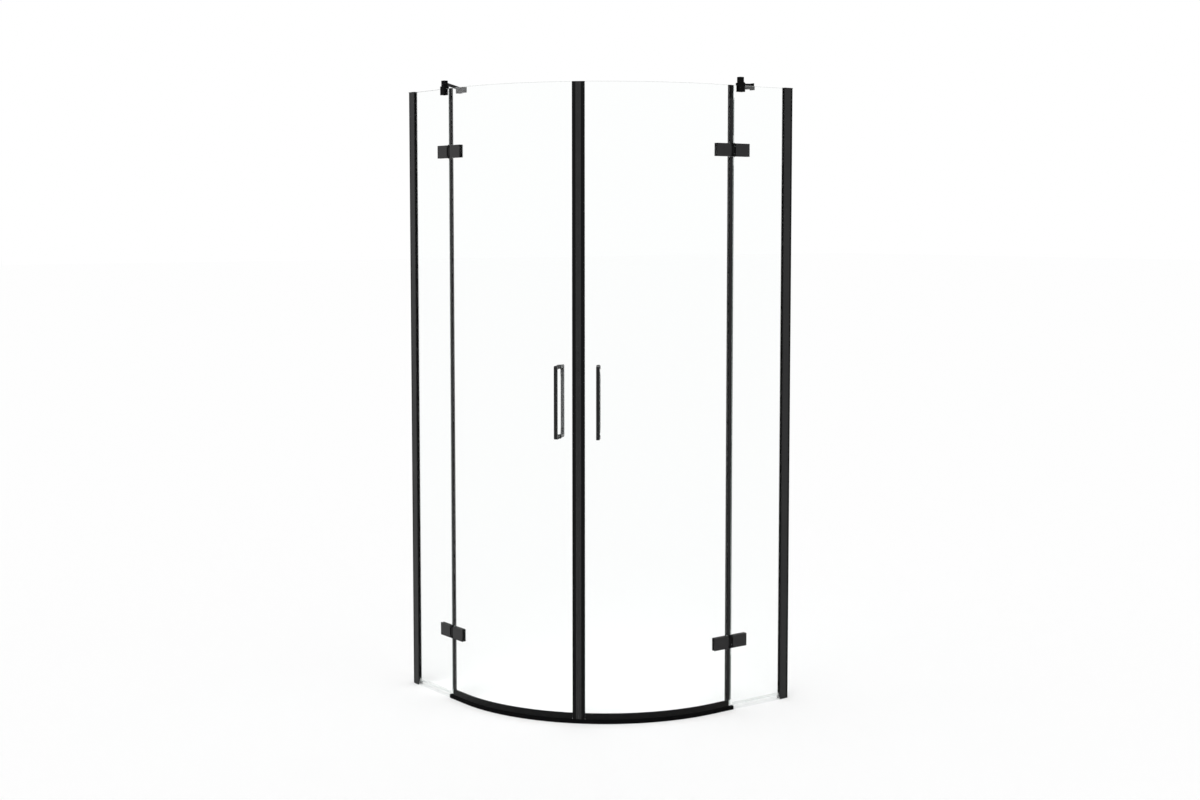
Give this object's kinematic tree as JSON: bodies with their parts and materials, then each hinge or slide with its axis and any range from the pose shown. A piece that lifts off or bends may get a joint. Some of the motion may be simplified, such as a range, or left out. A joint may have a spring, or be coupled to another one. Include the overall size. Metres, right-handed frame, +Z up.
{
  "type": "quadrant shower enclosure",
  "caption": "Corner shower enclosure with a curved front: fixed glass panes at the walls and bent glass doors that swing out on glass-to-glass hinges, over a curved threshold.",
  "frame": {"origin": "centre of the bounding box in plan, on the shower tray", "axes": "+Z up; +Y towards the wall of the right side, -X towards the wall of the left side; the doors meet on the line x = -y, facing (+X, -Y)"},
  "size_m": [0.88, 0.88, 1.9765],
  "materials": {
    "black_metal": "satin black powder coat",
    "clear_glass": "clear toughened",
    "black_seal": "satin, slightly soft",
    "clear_vinyl": "clear, soft",
    "magnet_rubber": "matt",
    "black_rubber": "matt",
    "black_plastic": "fine texture",
    "steel": "turned, blackened"
  },
  "bodies": {
    "frame": {"base_seals": "clear_vinyl", "brace_bar_left": "black_metal", "brace_bar_right": "black_metal", "brace_clamp_left": "black_metal", "brace_clamp_pads": "black_rubber", "brace_clamp_right": "black_metal", "brace_grub_screws": "steel", "brace_wall_brackets": "black_metal", "fixed_glass_left": "clear_glass", "fixed_glass_right": "clear_glass", "glass_profile_left": "black_metal", "glass_profile_right": "black_metal", "hinge_frame_cover_lower_left": "black_metal", "hinge_frame_cover_lower_right": "black_metal", "hinge_frame_cover_upper_left": "black_metal", "hinge_frame_cover_upper_right": "black_metal", "hinge_frame_gaskets": "black_rubber", "hinge_frame_leaf_lower_left": "black_metal", "hinge_frame_leaf_lower_right": "black_metal", "hinge_frame_leaf_upper_left": "black_metal", "hinge_frame_leaf_upper_right": "black_metal", "hinge_pins": "steel", "profile_caps": "black_plastic", "profile_gaskets": "black_rubber", "rail_end_caps": "black_plastic", "threshold_rail": "black_metal", "wall_channel_left": "black_metal", "wall_channel_right": "black_metal"},
    "door_right": {"bottom_seal_right": "black_seal", "door_glass_right": "clear_glass", "handle_inner_right": "black_metal", "handle_outer_right": "black_metal", "handle_shims_right": "black_rubber", "hinge_door_cover_lower_right": "black_metal", "hinge_door_cover_upper_right": "black_metal", "hinge_door_gaskets_right": "black_rubber", "hinge_door_leaf_lower_right": "black_metal", "hinge_door_leaf_upper_right": "black_metal", "hinge_seal_right": "black_seal", "magnet_seal_right": "black_seal", "magnet_strip_right": "magnet_rubber"},
    "door_left": {"bottom_seal_left": "black_seal", "door_glass_left": "clear_glass", "handle_inner_left": "black_metal", "handle_outer_left": "black_metal", "handle_shims_left": "black_rubber", "hinge_door_cover_lower_left": "black_metal", "hinge_door_cover_upper_left": "black_metal", "hinge_door_gaskets_left": "black_rubber", "hinge_door_leaf_lower_left": "black_metal", "hinge_door_leaf_upper_left": "black_metal", "hinge_seal_left": "black_seal", "magnet_seal_left": "black_seal", "magnet_strip_left": "magnet_rubber"}
  },
  "joints": [
    {"name": "door_right_hinge", "type": "hinge", "parent": "frame", "child": "door_right", "pos_m": [0.43, 0.196, 0.975], "axis": [0, 0, 1], "range_deg": [0, 90]},
    {"name": "door_left_hinge", "type": "hinge", "parent": "frame", "child": "door_left", "pos_m": [-0.196, -0.43, 0.975], "axis": [0, 0, -1], "range_deg": [0, 90]}
  ]
}
